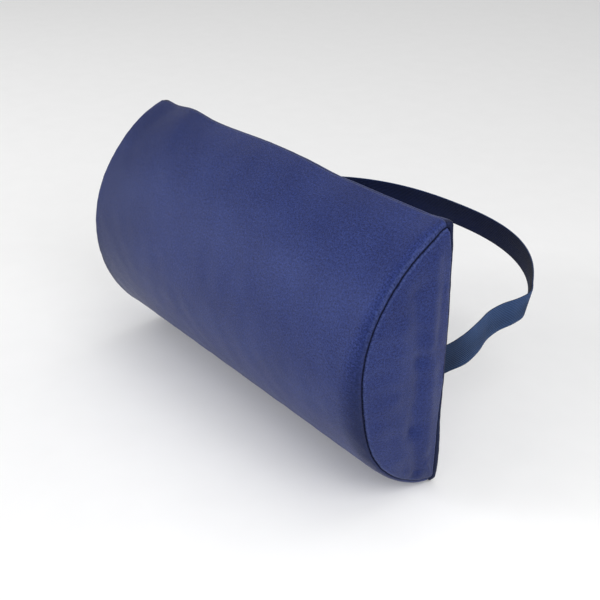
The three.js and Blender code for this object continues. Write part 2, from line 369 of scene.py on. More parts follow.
def side_edge(side, rise):
    """Points of a back seam."""
    ones = np.ones_like(rise)
    x, y = seam_rows(ones, rise)
    top, bottom = (long_seam_height(side * ones, sign) for sign in (1, -1))
    z = np.where(rise > 0, rise * top, -rise * bottom)
    return tuck_corners(np.stack([side * x, y, z], axis=-1))


def back_form(along, rise):
    seam_x, seam_y = seam_rows(along, rise)
    height = np.abs(np.where(rise > 0, long_seam_height(along, 1), long_seam_height(along, -1)))
    to_end = (1 - np.abs(along)) * SEAM_X
    to_long = (1 - np.abs(rise)) * height
    in_x, share_x = rolled(to_end, BACK_ROLL, SEAM_X, BACK_ROLL_WIDTH)
    in_z, share_z = rolled(to_long, BACK_ROLL, height, BACK_ROLL_WIDTH)
    shown = smooth((-48 * MM - rise * height) / (22 * MM))
    bulge = 0.7 * MM * np.sin(np.pi * np.clip(to_end / BACK_ROLL, 0, 1)) * shown
    in_x = in_x - (seam_x - SEAM_X) * to_end / SEAM_X - bulge
    x = np.sign(along) * (seam_x - in_x)
    z = np.sign(rise) * (height - in_z)
    crown = 2.1 - 2.0 * bump((z - ZIP_Z) / (13 * MM)) * smooth((to_end - 8 * MM) / (14 * MM))
    y = seam_y + (crown * MM - seam_y) * share_x * share_z
    return tuck_corners(np.stack([x, y, z], axis=-1))


RUMPLE_RNG = np.random.default_rng(7)
RUMPLE_WAVES = [
    (RUMPLE_RNG.uniform(0, np.pi), RUMPLE_RNG.uniform(11, 38), RUMPLE_RNG.uniform(0, 2 * np.pi))
    for _ in range(14)
]


def rumple(p, q, amount):
    """Broad, shallow unevenness of stretched cloth over the plane (p, q), all in millimetres."""
    total = np.zeros_like(p)
    for direction, wavelength, phase in RUMPLE_WAVES:
        reach = p * math.cos(direction) + q * math.sin(direction)
        total = total + np.sin(2 * np.pi * reach / wavelength + phase) * wavelength / 38
    return total * amount / 2


def segment_distance(p, q, a, b):
    """Distance in the plane (p, q) from the line between a and b, all in millimetres."""
    (ap, aq), (bp, bq) = a, b
    length2 = (bp - ap) ** 2 + (bq - aq) ** 2
    t = np.clip(((p - ap) * (bp - ap) + (q - aq) * (bq - aq)) / length2, 0, 1)
    return np.hypot(p - ap - t * (bp - ap), q - aq - t * (bq - aq))


# soft folds of an end panel: two ends (y, z), half-width and height, in millimetres
END_FOLDS = (
    ((-30, 62), (-24, 10), 5.5, -1.7),
    ((-24, 10), (-27, -45), 6.0, -2.8),
    ((-27, -45), (-20, -84), 4.5, -2.0),
    ((-41, 40), (-44, -10), 8.0, 0.8),
    ((-44, -10), (-38, -62), 6.0, 0.6),
    ((-13, 82), (-15, 20), 5.0, 0.9),
    ((-11, 0), (-13, -66), 4.5, 0.8),
    ((-6, 60), (-9, 20), 2.6, -0.6),
    ((-22, -84), (-8, -98), 3.0, -0.8),
    ((-12, -80), (-5, -95), 2.2, 0.6),
    ((-30, -80), (-14, -92), 3.0, 0.4),
)


def end_form(side, turn, across):
    arc = front_form(np.full_like(turn, float(side)), turn)
    back = side_edge(side, turn)
    points = arc + (back - arc) * across[..., None]
    dome = 1.8 * (1 - np.abs(2 * across - 1) ** 4) * np.sqrt(np.clip(1 - turn**2, 0, 1))
    y, z = points[..., 1] / MM, points[..., 2] / MM
    for a, b, width, height in END_FOLDS:
        fade = smooth(across * (1 - across) / 0.06)
        dome = dome + fade * height * bump(segment_distance(y, z, a, b) / width)
    calm = smooth(across * (1 - across) / 0.1)
    dome = dome + rumple(y, z, 0.34) * np.sqrt(np.clip(1 - turn**2, 0, 1)) * calm
    points[..., 0] += side * dome * MM
    return points


# ------------------------------------------------------------------ cloth simulation

SIM_ALONG = 90
SIM_TURN = 64
SIM_ACROSS = 16
SIM_INSET = 1.4 * MM  # the cloth starts this far inside its finished form
SIM_CAP = 5 * MM
SIM_SHARE = 0.55  # how much of the puffing shows
SIM_PASSES = 10  # evening out, as the cover is stretched tight over the foam


def panel_grids():
    """The four panels' grids for the simulation, each with the sign of its outward normals."""
    along, turn = np.meshgrid(
        np.linspace(-1, 1, SIM_ALONG + 1), np.linspace(-1, 1, SIM_TURN + 1), indexing="ij"
    )
    end_turn, across = np.meshgrid(
        np.linspace(-1, 1, SIM_TURN + 1), np.linspace(0, 1, SIM_ACROSS + 1), indexing="ij"
    )
    return {
        "front": (front_form(along, turn), 1),
        "back": (back_form(along, turn), -1),
        "right": (end_form(1, end_turn, across), -1),
        "left": (end_form(-1, end_turn, across), 1),
    }


def puff_by_simulation():
    """Blows the sewn cover up a little as cloth, with its seams held, and returns how far each
    panel's grid points end from the plain form."""
    grids = panel_grids()
    loose, faces, is_edge, first = [], [], [], 0
    for points, sign in grids.values():
        rows, columns = points.shape[:2]
        edge = np.zeros((rows, columns), bool)
        edge[[0, -1]] = True
        edge[:, [0, -1]] = True
        start = points - sign * grid_normals(points) * SIM_INSET * ~edge[..., None]
        quads = grid_faces(rows, columns, first)
        faces.append(quads if sign > 0 else quads[:, ::-1])
        loose.append(start.reshape(-1, 3))
        is_edge.append(edge.ravel())
        first += rows * columns
    loose = np.concatenate(loose)
    is_edge = np.concatenate(is_edge)
    _, kept, welded = np.unique(
        np.round(loose / (0.05 * MM)).astype(int), axis=0, return_index=True, return_inverse=True
    )
    welded = welded.ravel()
    quads = [list(dict.fromkeys(q)) for q in welded[np.concatenate(faces)].tolist()]
    cover = new_object("cover_simulation", loose[kept], [q for q in quads if len(q) > 2])

    seams = cover.vertex_groups.new(name="seams")
    seams.add([int(i) for i in np.nonzero(is_edge[kept])[0]], 1.0, "REPLACE")
    cloth = cover.modifiers.new("cloth", "CLOTH")
    settings = cloth.settings
    settings.quality = 6
    settings.mass = 0.2
    settings.tension_stiffness = 25
    settings.compression_stiffness = 25
    settings.shear_stiffness = 12
    settings.bending_stiffness = 1.2
    settings.use_pressure = True
    settings.uniform_pressure_force = 4
    settings.shrink_min = 0.0
    settings.vertex_group_mass = "seams"
    settings.effector_weights.gravity = 0
    cloth.collision_settings.use_collision = False
    cloth.point_cache.frame_start = 1
    cloth.point_cache.frame_end = 20
    for step in range(1, 21):
        bpy.context.scene.frame_set(step)
    result = cover.evaluated_get(bpy.context.evaluated_depsgraph_get()).to_mesh()
    after = np.zeros(len(result.vertices) * 3)
    result.vertices.foreach_get("co", after)
    after = after.reshape(-1, 3)[welded]
    bpy.context.scene.frame_set(1)
    bpy.data.objects.remove(cover)

    moves, first = {}, 0
    kernel = np.array([0.25, 0.5, 0.25])
    for name, (points, _) in grids.items():
        rows, columns = points.shape[:2]
        start = loose[first : first + rows * columns]
        move = after[first : first + rows * columns] - start
        length = np.linalg.norm(move, axis=1, keepdims=True)
        move *= np.minimum(1, SIM_CAP / np.maximum(length, 1e-9))
        move = (start + move).reshape(rows, columns, 3) - points
        for _ in range(SIM_PASSES):
            move[1:-1] = sum(k * move[i : rows - 2 + i] for i, k in enumerate(kernel))
            move[:, 1:-1] = sum(k * move[:, i : columns - 2 + i] for i, k in enumerate(kernel))
        moves[name] = move * SIM_SHARE
        first += rows * columns
    return moves


PUFF = puff_by_simulation()


def puffed(name, points, first, second):
    """Adds the simulated movement to a panel's grid; first and second are its places, -1..1 or 0..1."""
    move = PUFF[name]
    a = cubic_weights(first, move.shape[0])
    b = cubic_weights(second, move.shape[1])
    return points + np.einsum("ai,bj,ijk->abk", a, b, move)


# ------------------------------------------------------------------ sewn seams


def roll_in(distance, reach=ROLL):
    """How far the cloth has turned into a seam: 1 on the seam, 0 beyond its reach."""
    return 1 - np.sqrt(1 - np.clip(1 - distance / reach, 0, 1) ** 2)


def arc_pull(side, points):
    """Vectors into the cover that an end seam's thread pulls the cloth along."""
    radial = unit(points * [0, 1, 1] - np.array([0, ARC_CENTRE_Y, 0]))
    return unit(np.array([-0.9 * side, 0, 0]) - 0.44 * radial)


def back_pull(side, points):
    """Nearly sideways where the back panel rolls over the seam, and forwards where it doesn't."""
    forward = smooth((points[..., 1:2] / MM + 1.5) / 3)
    sideways = np.array([-0.97 * side, -0.25, 0])
    return unit(sideways * (1 - forward) + np.array([-0.4 * side, -0.92, 0]) * forward)


def long_pull(sign, points):
    return np.broadcast_to(unit(np.array([0, -0.25, -0.97 * sign])), points.shape)


def corner_pull(side, sign):
    return unit(np.array([-0.66 * side, -0.35, -0.66 * sign]))


def seam_pull(pull, points):
    """The pull of a seam, turned to a common direction at the corners where three seams meet."""
    for side in (-1, 1):
        for sign in (-1, 1):
            corner = front_form(np.array([[float(side)]]), np.array([[float(sign)]]))[0, 0]
            near = smooth(1 - np.linalg.norm(points - corner, axis=-1) / (7 * MM))[..., None]
            pull = unit(pull * (1 - near) + corner_pull(side, sign) * near)
    return pull


def strap_gape(points):
    """Half the strap's thickness where it passes through a back seam, and 0 elsewhere."""
    height = np.abs(points[..., 2])
    return 0.62 * MM * smooth((STRAP_WIDTH / 2 + 1.6 * MM - height) / (1.4 * MM))


def pucker(points, distance, phase, amount):
    """Small gathers that stand along a seam and die out away from it."""
    path = points[..., 0] + points[..., 2] + 0.6 * points[..., 1]
    height = ripple(path / MM, (9.5, 14.7, 23.0), phase)
    return amount * MM * height * np.exp(-distance / (6 * MM)) * smooth(distance / (2 * MM))


def vertex_numbers(grid):
    """The numbers of a grid's vertices, stored row by row."""
    return np.arange(grid.shape[0] * grid.shape[1]).reshape(grid.shape[:2])


def seam_mark(*distances):
    """1 on a seam, and fading away from the nearest one."""
    return np.exp(-np.minimum.reduce(distances) / SEAM_MARK)


def sewn_panel(name, grid, uv, marks, edges, outward_at, shade):
    """A panel with its edges turned in. edges holds, for each turned edge, its row of vertex
    numbers in the grid and the places that the cloth passes on its way in, nearest first. shade
    is painted shade over the grid: how far the cloth's colour is darkened towards near black
    where it lies in shade, with none on the turned edges."""
    vertices, coordinates = [grid.reshape(-1, 3)], [uv.reshape(-1, 2)]
    faces = [grid_faces(*grid.shape[:2])]
    near = [np.asarray(marks).ravel()]
    count = grid.shape[0] * grid.shape[1]
    for row, places in edges:
        last = np.asarray(row)
        travel = np.zeros(len(row))
        before = vertices[0][last]
        inwards = unit(coordinates[0][last] - coordinates[0].mean(axis=0))
        for place in places:
            travel = travel + np.linalg.norm(place - before, axis=1)
            current = count + np.arange(len(row))
            vertices.append(place)
            coordinates.append(coordinates[0][np.asarray(row)] + inwards * travel[:, None])
            near.append(np.ones(len(row)))
            faces.append(np.stack([last[:-1], last[1:], current[1:], current[:-1]], axis=1))
            last, before = current, place
            count += len(row)
    # painted shade per vertex, kept in the 'shade' attribute that darkens the cover's colour
    painted_shade = np.zeros(count)
    painted_shade[: shade.size] = shade.ravel()
    piece = new_object(
        name,
        np.concatenate(vertices),
        np.concatenate(faces),
        np.concatenate(coordinates),
        {"seam": np.concatenate(near), "shade": painted_shade},
    )
    tidy_mesh(piece, outward_at)
    thick = piece.modifiers.new("cloth thickness", "SOLIDIFY")
    thick.thickness = CLOTH
    thick.offset = -1
    return piece


def flange(edge_points, pull, aside):
    """Places of a seam's turned edge, going in beside the neighbouring panel's."""
    return [edge_points + aside + pull * FLANGE * share for share in (0.2, 0.6, 1.0)]


# ------------------------------------------------------------------ front panel

arc_length = 2 * math.acos(ARC_CENTRE_Y / RADIUS) * RADIUS
along_places = 2 * graded(2 * SEAM_X, FINE, PITCH) - 1
turn_places = 2 * graded(arc_length, FINE, PITCH) - 1


def make_front():
    along, turn = np.meshgrid(along_places, turn_places, indexing="ij")
    points = front_form(along, turn)
    points = puffed("front", points, (along_places + 1) / 2, (turn_places + 1) / 2)
    to_end = (1 - np.abs(along)) * SEAM_X
    to_long = (1 - np.abs(turn)) * arc_length / 2
    normal = grid_normals(points)
    lift = pucker(points, to_end, 0.4, 0.32) + pucker(points, to_long, 2.1, 0.28)
    calm = smooth(np.minimum(to_end, to_long) / (12 * MM))
    lift = lift + calm * MM * rumple(along * SEAM_X / MM, turn * arc_length / 2 / MM, 0.10)
    points = points + normal * lift[..., None]
    for side in (-1, 1):
        pull = seam_pull(arc_pull(side, points), points)
        deep = roll_in(to_end) * (along * side > 0)
        points = points + pull * (deep * ROLL_DEPTH)[..., None]
    for sign in (-1, 1):
        pull = seam_pull(long_pull(sign, points), points)
        deep = roll_in(to_long) * (turn * sign > 0) * (1 - roll_in(to_end))
        points = points + pull * (deep * ROLL_DEPTH)[..., None]
    number = vertex_numbers(points)
    edges = []
    for side in (-1, 1):
        row = number[-1 if side > 0 else 0]
        edge = points[-1 if side > 0 else 0]
        pull = seam_pull(arc_pull(side, edge), edge)
        radial = unit(edge * [0, 1, 1] - np.array([0, ARC_CENTRE_Y, 0]))
        edges.append((row, flange(edge, pull, radial * SIDE_GAP)))
    for sign in (-1, 1):
        column = number[:, -1 if sign > 0 else 0]
        edge = points[:, -1 if sign > 0 else 0]
        pull = seam_pull(long_pull(sign, edge), edge)
        edges.append((column, flange(edge, pull, np.array([0, -SIDE_GAP, 0]))))
    uv = np.stack([along * SEAM_X, turn * arc_length / 2], axis=-1)
    marks = seam_mark(to_end, to_long)
    # painted shade: a dark band beside the end seams, widest a little below the crown where the cloth rounds
    # over into the seam, and a darkening towards the left end where less light falls
    reach = (3 + 11 * bump((turn + 0.25) / 0.42)) * MM
    shade = bump(to_end / reach) * bump((turn + 0.25) / 0.5)
    shade = np.maximum(shade, 0.5 * smooth((-0.3 - along) / 0.7))
    return sewn_panel("cover_front", points, uv, marks, edges, (0, -1, 0), shade)


# ------------------------------------------------------------------ end panels


def distance_to_line(points, line):
    """Distance from each point of a grid to a polyline."""
    start, step = line[:-1], np.diff(line, axis=0)
    length2 = np.maximum((step**2).sum(axis=1), 1e-12)
    nearest = np.full(points.shape[:2], np.inf)
    for a, way, size2 in zip(start, step, length2):
        t = np.clip(((points - a) @ way) / size2, 0, 1)
        nearest = np.minimum(nearest, np.linalg.norm(points - a - t[..., None] * way, axis=-1))
    return nearest


def make_end(side, name):
    across_places = graded(DEPTH, FINE, PITCH)
    turn, across = np.meshgrid(turn_places, across_places, indexing="ij")
    points = end_form(side, turn, across)
    key = "right" if side > 0 else "left"
    points = puffed(key, points, (turn_places + 1) / 2, across_places)
    to_arc = distance_to_line(points, points[:, 0])
    to_back = np.linalg.norm(points - side_edge(side, turn), axis=-1)
    lift = pucker(points, to_arc, 3.3, 0.3) + pucker(points, to_back, 5.2, 0.25)
    points[..., 0] += side * lift
    gape = strap_gape(points) * roll_in(to_back, 4 * MM)
    points[..., 0] += side * gape
    pull = seam_pull(arc_pull(side, points), points)
    points = points + pull * (roll_in(to_arc) * ROLL_DEPTH)[..., None]
    pull = seam_side_pull(side, turn)
    deep = roll_in(to_back) * (1 - roll_in(to_arc))
    points = points + pull * (deep * ROLL_DEPTH)[..., None]
    number = vertex_numbers(points)
    arc_edge, back_edge = points[:, 0], points[:, -1]
    radial = unit(arc_edge * [0, 1, 1] - np.array([0, ARC_CENTRE_Y, 0]))
    arc_in = seam_pull(arc_pull(side, arc_edge), arc_edge)
    back_in = seam_side_pull(side, turn[:, -1])
    edges = [
        (number[:, 0], flange(arc_edge, arc_in, -radial * SIDE_GAP)),
        (number[:, -1], flange(back_edge, back_in, np.array([side * SIDE_GAP, 0, 0]))),
    ]
    cut_from = 0.0 if side > 0 else 0.43
    uv = np.stack([points[..., 1] + cut_from, points[..., 2] + cut_from], axis=-1)
    marks = seam_mark(to_arc, to_back)
    # painted shade towards the bottom of the end panel, near the floor, where less light reaches
    shade = 0.22 * smooth((-0.55 - turn) / 0.4)
    return sewn_panel(name, points, uv, marks, edges, (side, -DEPTH / 2, 0), shade)


# ------------------------------------------------------------------ back panels


def back_x(along):
    """Where a place on the back panels' grids lies, allowing for the cloth in their rolled edges."""
    to_end = (1 - np.abs(along)) * SEAM_X
    return np.sign(along) * (SEAM_X + MM - rolled(to_end, BACK_ROLL, SEAM_X, BACK_ROLL_WIDTH)[0])


def slot_half(x):
    """Half the gap between the two back panels: open along the zip, sewn shut beyond it."""
    half = (ZIP_HIGH - ZIP_LOW) / 2
    right = smooth((SLOT_RIGHT - x) / SLOT_FADE)
    left = smooth((x - SLOT_LEFT) / SLOT_FADE)
    return 0.3 * MM + (half - 0.3 * MM) * right * left


def seam_side_pull(side, rise):
    edge = side_edge(side, rise)
    return seam_pull(back_pull(side, edge), edge)


def make_back(upper, name):
    low, high = (corner.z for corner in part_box("back_panel_upper" if upper else "back_panel_lower"))
    sign = 1 if upper else -1
    share = graded(high - low, FINE, PITCH)
    along, share = np.meshgrid(along_places, share, indexing="ij")
    edge_z = ZIP_Z + slot_half(back_x(along)) * sign
    limit = long_seam_height(along, sign)
    edge_rise = -edge_z / long_seam_height(along, -1)
    start, stop = (edge_rise, 1.0) if upper else (-1.0, edge_rise)
    rise = start + (stop - start) * share
    points = back_form(along, rise)
    move = PUFF["back"]
    a = cubic_weights((along[:, 0] + 1) / 2, move.shape[0])
    shift = np.zeros_like(points)
    for i in range(len(points)):
        b = cubic_weights((rise[i] + 1) / 2, move.shape[1])
        shift[i] = np.einsum("i,bj,ijk->bk", a[i], b, move)
    calm = 1 - bump((points[..., 2] - ZIP_Z) / (16 * MM))
    points = points + shift * calm[..., None]
    to_end = (1 - np.abs(along)) * SEAM_X
    to_long = np.abs(limit - points[..., 2])
    to_slot = np.abs(points[..., 2] - edge_z)
    lift = pucker(points, to_end, 4.4, 0.3) + pucker(points, to_long, 0.9, 0.3)
    lift = lift + pucker(points, to_slot, 2.7, 0.12)
    points[..., 1] += lift
    gape = strap_gape(points) * roll_in(to_end, 4 * MM)
    points[..., 0] -= np.sign(along) * gape
    for side in (-1, 1):
        pull = seam_side_pull(side, rise)
        deep = roll_in(to_end) * (along * side > 0)
        points = points + pull * (deep * ROLL_DEPTH)[..., None]
    pull = seam_pull(long_pull(sign, points), points)
    deep = roll_in(to_long) * (1 - roll_in(to_end))
    points = points + pull * (deep * ROLL_DEPTH)[..., None]
    number = vertex_numbers(points)
    edges = []
    for side in (-1, 1):
        k = -1 if side > 0 else 0
        edge = points[k]
        pull = seam_side_pull(side, rise[k])
        edges.append((number[k], flange(edge, pull, np.array([-side * SIDE_GAP, 0, 0]))))
    k = -1 if upper else 0
    edge = points[:, k]
    pull = seam_pull(long_pull(sign, edge), edge)
    edges.append((number[:, k], flange(edge, pull, np.array([0, SIDE_GAP, 0]))))
    edge = points[:, 0 if upper else -1]
    drawn_in = np.zeros_like(edge)
    drawn_in[:, 0] = -np.sign(edge[:, 0]) * HEM_DRAWN_IN * smooth((6 * MM - to_end[:, 0]) / (6 * MM))
    fold = []
    for degrees in (30, 60, 90, 120, 150, 180):
        turned = math.radians(degrees)
        out = -sign * math.sin(turned) * HEM_RADIUS
        turn_in = np.array([0, (math.cos(turned) - 1) * HEM_RADIUS, out])
        fold.append(edge + turn_in + drawn_in * degrees / 180)
    fold += [fold[-1] + np.array([0, 0, sign * HEM * part]) for part in (0.35, 0.7, 1.0)]
    edges.append((number[:, 0 if upper else -1], fold))
    uv = np.stack([points[..., 0], points[..., 2]], axis=-1)
    marks = seam_mark(to_end, to_long, to_slot)
    # painted shade: near black along the back panels' rolled edges at the ends, where they lie in shadow
    shade = 1.5 * smooth((9 * MM - to_end) / (4 * MM))
    return sewn_panel(name, points, uv, marks, edges, (0, 1, (low + high) / 2), shade)


# ------------------------------------------------------------------ foam block


def make_foam():
    """The block, a little inside its cover, with its edges cut back for the seam allowances."""
    foam_low, foam_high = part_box("foam_core")
    alongs = np.linspace(-1, 1, 25) * (SEAM_X - 7 * MM) / SEAM_X
    turns = np.linspace(-0.93, 0.93, 41)
    rises = np.linspace(0.92, -0.92, 13)
    along, turn = np.meshgrid(alongs, turns, indexing="ij")
    front = front_form(along, turn)
    front -= grid_normals(front) * 3.4 * MM
    along, rise = np.meshgrid(alongs, rises, indexing="ij")
    back = back_form(along, rise)
    back[..., 0] = along * SEAM_X
    back[..., 1] = foam_high.y
    loops = np.concatenate([front, back], axis=1)
    rings = []
    ends = ((0.0, 0.0), (0.03, 0.9), (0.08, 1.6), (0.2, 2.0), (0.6, 2.2))
    for side, loop in ((-1, loops[0]), (1, loops[-1])):
        centre = loop.mean(axis=0)
        grown = [
            loop + (centre - loop) * [0, s, s] + np.array([side * out * MM, 0, 0]) for s, out in ends
        ]
        rings.append(grown)
    order = rings[0][::-1] + list(loops[1:-1]) + rings[1]
    return swept("foam_block", np.array(order), (0, -1, 0))


# ------------------------------------------------------------------ elastic strap

# each end passes through its seam at these places, in millimetres: out to the side, and behind
STRAP_TUCK = ((169, -8), (172, -3), (173, 2), (173, 8))
# in plan the loop is a squared oval, a little deeper than the CAD's
LOOP_SQUARENESS = 2.35
LOOP_SLACK = 1 * MM
LOOP_STEPS = 36
# where the loop bends inwards, or outwards below 0: side, place behind the back, reach and
# depth, in millimetres
LOOP_BENDS = ((1, 66, 28, 9), (1, 106, 14, -4), (-1, 72, 34, 7))
# where its top edge leans out: degrees round the loop, reach in degrees, and millimetres
LOOP_LEANS = ((8, 7, -1.2), (30, 14, 2.4), (98, 34, -3.0))
STRAP_RIBS = 14
STRAP_HALF_THICK = 0.56 * MM
RIB_HEIGHT = 0.24 * MM


def strap_section():
    """The band's outline as (across the width, out of the face), with its way round in metres."""
    phases = np.array([0, 0.1, 0.3, 0.5, 0.7, 0.9])
    places = np.concatenate([i + phases for i in range(STRAP_RIBS)] + [[STRAP_RIBS]])
    width = (places / STRAP_RIBS - 0.5) * (STRAP_WIDTH - 2 * STRAP_HALF_THICK)
    height = STRAP_HALF_THICK + RIB_HEIGHT * (np.abs(np.sin(np.pi * places)) ** 0.7 - 1)
    outer = np.stack([width, height], axis=1)
    corner = np.array([[math.cos(a), math.sin(a)] for a in np.radians((55, 25, 0, -25, -55))])
    edge = corner * (STRAP_HALF_THICK - RIB_HEIGHT / 2)
    edge[:, 0] += width[-1]
    loop = np.concatenate([outer, edge, -outer, -edge])
    closed = np.vstack([loop, loop[:1]])
    travel = travelled(closed)
    side = np.concatenate([np.zeros(len(outer) + len(edge)), np.ones(len(outer)), np.ones(len(edge))])
    return loop, travel[:-1], side


def strap_route():
    """The loop's middle line from right to left, as x, y and how far its top edge leans out."""
    deep = strap_high.y + LOOP_SLACK
    around = np.linspace(0, math.pi, LOOP_STEPS + 1)[1:-1]
    x = np.sign(np.cos(around)) * STRAP_X * np.abs(np.cos(around)) ** (2 / LOOP_SQUARENESS)
    y = deep * np.sin(around) ** (2 / LOOP_SQUARENESS)
    for side, place, reach, depth in LOOP_BENDS:
        near = np.clip(side * x / (0.5 * STRAP_X), 0, 1)
        x = x - side * depth * MM * near * bump((y / MM - place) / reach)
    lean = sum(out * bump((np.degrees(around) - at) / reach) for at, reach, out in LOOP_LEANS)
    loop = np.stack([x, y, lean * MM], axis=1)
    tuck = np.array([(side, behind, 0) for side, behind in STRAP_TUCK]) * MM
    return np.vstack([tuck, loop, tuck[::-1] * [-1, 1, 1]])


def make_strap():
    route, travel = catmull_rom(strap_route(), 2.8 * MM)
    middle = np.column_stack([route[:, :2], np.zeros(len(route))])
    tangent = unit(np.gradient(route[:, :2], axis=0))
    outward = np.stack([tangent[:, 1], -tangent[:, 0], np.zeros(len(route))], axis=1)
    wide = unit(np.array([0, 0, 1.0]) * STRAP_WIDTH / 2 + outward * route[:, 2:3])
    flat_tangent = np.concatenate([tangent, np.zeros((len(route), 1))], axis=1)
    out = unit(np.cross(flat_tangent, wide))
    out *= np.sign((out * outward).sum(axis=1, keepdims=True))
    section, way, side = strap_section()
    away = np.minimum(travel, travel[-1] - travel)
    drawn_up = 1 - 0.15 * bump((away - 12 * MM) / (16 * MM))
    across = section[None, :, :1] * np.where(section[None, :, :1] < 0, drawn_up[:, None, None], 1)
    points = middle[:, None] + wide[:, None] * across + out[:, None] * section[None, :, 1:]
    way = np.append(way, way[-1] + 0.2 * MM)
    uv = np.stack(np.meshgrid(travel, way, indexing="ij"), axis=-1)
    inner = np.broadcast_to(np.append(side, side[0]), uv.shape[:2])
    return swept("strap_band", points, (0, 1, 0), uv, {"inner": inner}), travel[-1]


# ------------------------------------------------------------------ threads


class Threads:
    """Short sewn threads gathered in one mesh, each a bowed bar that dips in at both ends."""

    SIDES = 5
    BOW = ((0.0, -0.9), (0.16, 0.1), (0.5, 0.45), (0.84, 0.1), (1.0, -0.9))

    def __init__(self, thickness):
        self.radius = thickness / 2
        self.vertices, self.faces = [], []

    def stitch(self, start, end, out):
        start, end, out = (np.asarray(v, float) for v in (start, end, out))
        along = unit(end - start)
        out = unit(out - along * out.dot(along))
        beside = np.cross(along, out)
        first = len(self.vertices)
        for share, height in self.BOW:
            middle = start + (end - start) * share + out * height * self.radius
            for k in range(self.SIDES):
                a = 2 * math.pi * k / self.SIDES
                spoke = out * math.cos(a) + beside * math.sin(a)
                self.vertices.append(middle + spoke * self.radius)
        for ring in range(len(self.BOW) - 1):
            for k in range(self.SIDES):
                a = first + ring * self.SIDES + k
                b = first + ring * self.SIDES + (k + 1) % self.SIDES
                self.faces.append([a, b, b + self.SIDES, a + self.SIDES])
        self.faces.append([first + k for k in range(self.SIDES)][::-1])
        last = first + (len(self.BOW) - 1) * self.SIDES
        self.faces.append([last + k for k in range(self.SIDES)])

    def line(self, points, out, length, gap):
        """Running stitches along a polyline; out holds the way out of the cloth at each point."""
        points, out = np.asarray(points, float), np.asarray(out, float)
        out = np.broadcast_to(out, points.shape)
        travel = travelled(points)
        count = int((travel[-1] + gap) // (length + gap))
        pitch = (travel[-1] + gap) / count
        for i in range(count):
            at = [i * pitch, i * pitch + pitch - gap]
            a, b = (np.array([np.interp(s, travel, points[:, k]) for k in range(3)]) for s in at)
            way = np.array([np.interp(sum(at) / 2, travel, out[:, k]) for k in range(3)])
            self.stitch(a, b, way)

    def build(self, name):
        piece = new_object(name, self.vertices, self.faces)
        tidy_mesh(piece, (5, -5, 0))
        return piece


STITCH = 2.4 * MM
STITCH_GAP = 0.9 * MM
THREAD = 0.5 * MM


def seam_stitches(side):
    """Threads in the grooves round an end panel."""
    threads = Threads(THREAD)
    turn = np.linspace(-0.985, 0.985, 160)
    arc = front_form(np.full_like(turn, float(side)), turn)
    pull = seam_pull(arc_pull(side, arc), arc)
    threads.line(arc + pull * (ROLL_DEPTH * 0.72), -pull, STITCH, STITCH_GAP)
    back = side_edge(side, turn)
    pull = seam_pull(back_pull(side, back), back)
    for part in (back[:, 2] > STRAP_WIDTH / 2 + 2 * MM, back[:, 2] < -STRAP_WIDTH / 2 - 2 * MM):
        inside = (back + pull * (ROLL_DEPTH * 0.8))[part]
        threads.line(inside, -pull[part], STITCH, STITCH_GAP)
    return threads.build("stitches_end_right" if side > 0 else "stitches_end_left")


def long_stitches():
    threads = Threads(THREAD)
    along = np.linspace(-0.985, 0.985, 160)
    for sign in (-1, 1):
        points = front_form(along, np.full_like(along, float(sign)))
        pull = seam_pull(long_pull(sign, points), points)
        threads.line(points + pull * (ROLL_DEPTH * 0.8), -pull, STITCH, STITCH_GAP)
    return threads.build("stitches_long_seams")


def zip_stitches():
    """Topstitching that holds the tapes, and a bar tack at each end of the zip."""
    threads = Threads(THREAD)
    x = np.linspace(-149, 153, 120) * MM
    for sign in (-1, 1):
        z = ZIP_Z + sign * (slot_half(x) + 2.6 * MM)
        points = np.stack([x, np.full_like(x, 0.18 * MM), z], axis=-1)
        threads.line(points, (0, 1, 0), STITCH, STITCH_GAP)
    for end in (-149.2, 153.2):
        for k in range(9):
            at = (end + 0.32 * (k - 4)) * MM
            a = (at, 0.3 * MM, ZIP_Z - 4.2 * MM)
            threads.stitch(a, (at + 0.15 * MM, a[1], ZIP_Z + 4.2 * MM), (0, 1, 0))
    return threads.build("stitches_zip")


# ------------------------------------------------------------------ zip tapes and coils


def make_tape(sign, name, node):
    """A woven tape with a corded edge, stepped up under the coil."""
    low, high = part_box(node)
    inner, outer = (low.z, high.z) if sign > 0 else (high.z, low.z)
    width = abs(outer - inner)
    across = np.linspace(0, 1, 43)
    top = low.y + 0.35 * MM + 0.45 * MM * (1 - smooth((across * width - 3.2 * MM) / (2 * MM)))
    top = top + 0.09 * MM * np.abs(np.sin(across * width / (0.9 * MM) * math.pi))
    top = top + 0.3 * MM * bump((across * width - 0.4 * MM) / (0.5 * MM))
    bottom = low.y - 0.1 * MM + (top - top.min()) * 0.3
    z = inner + (outer - inner) * across
    loop = np.concatenate(
        [np.stack([z, top], axis=1), np.stack([z[::-1], bottom[::-1]], axis=1)], axis=0
    )
    xs = np.linspace(low.x, high.x, 61)
    points = np.zeros((len(xs), len(loop), 3))
    points[..., 0] = xs[:, None]
    points[..., 1] = loop[None, :, 1]
    points[..., 2] = loop[None, :, 0]
    way = np.concatenate([across * width, width + across * width, [2 * width]])
    uv = np.stack(np.meshgrid(xs, way, indexing="ij"), axis=-1)
    return swept(name, points, (0, 1, (inner + outer) / 2), uv), (width, high.x - low.x)


COIL_PITCH = 1.35 * MM
COIL_WIRE = 0.6 * MM
COIL_OVERLAP = 0.75 * MM  # how far the heads reach in between the other row's


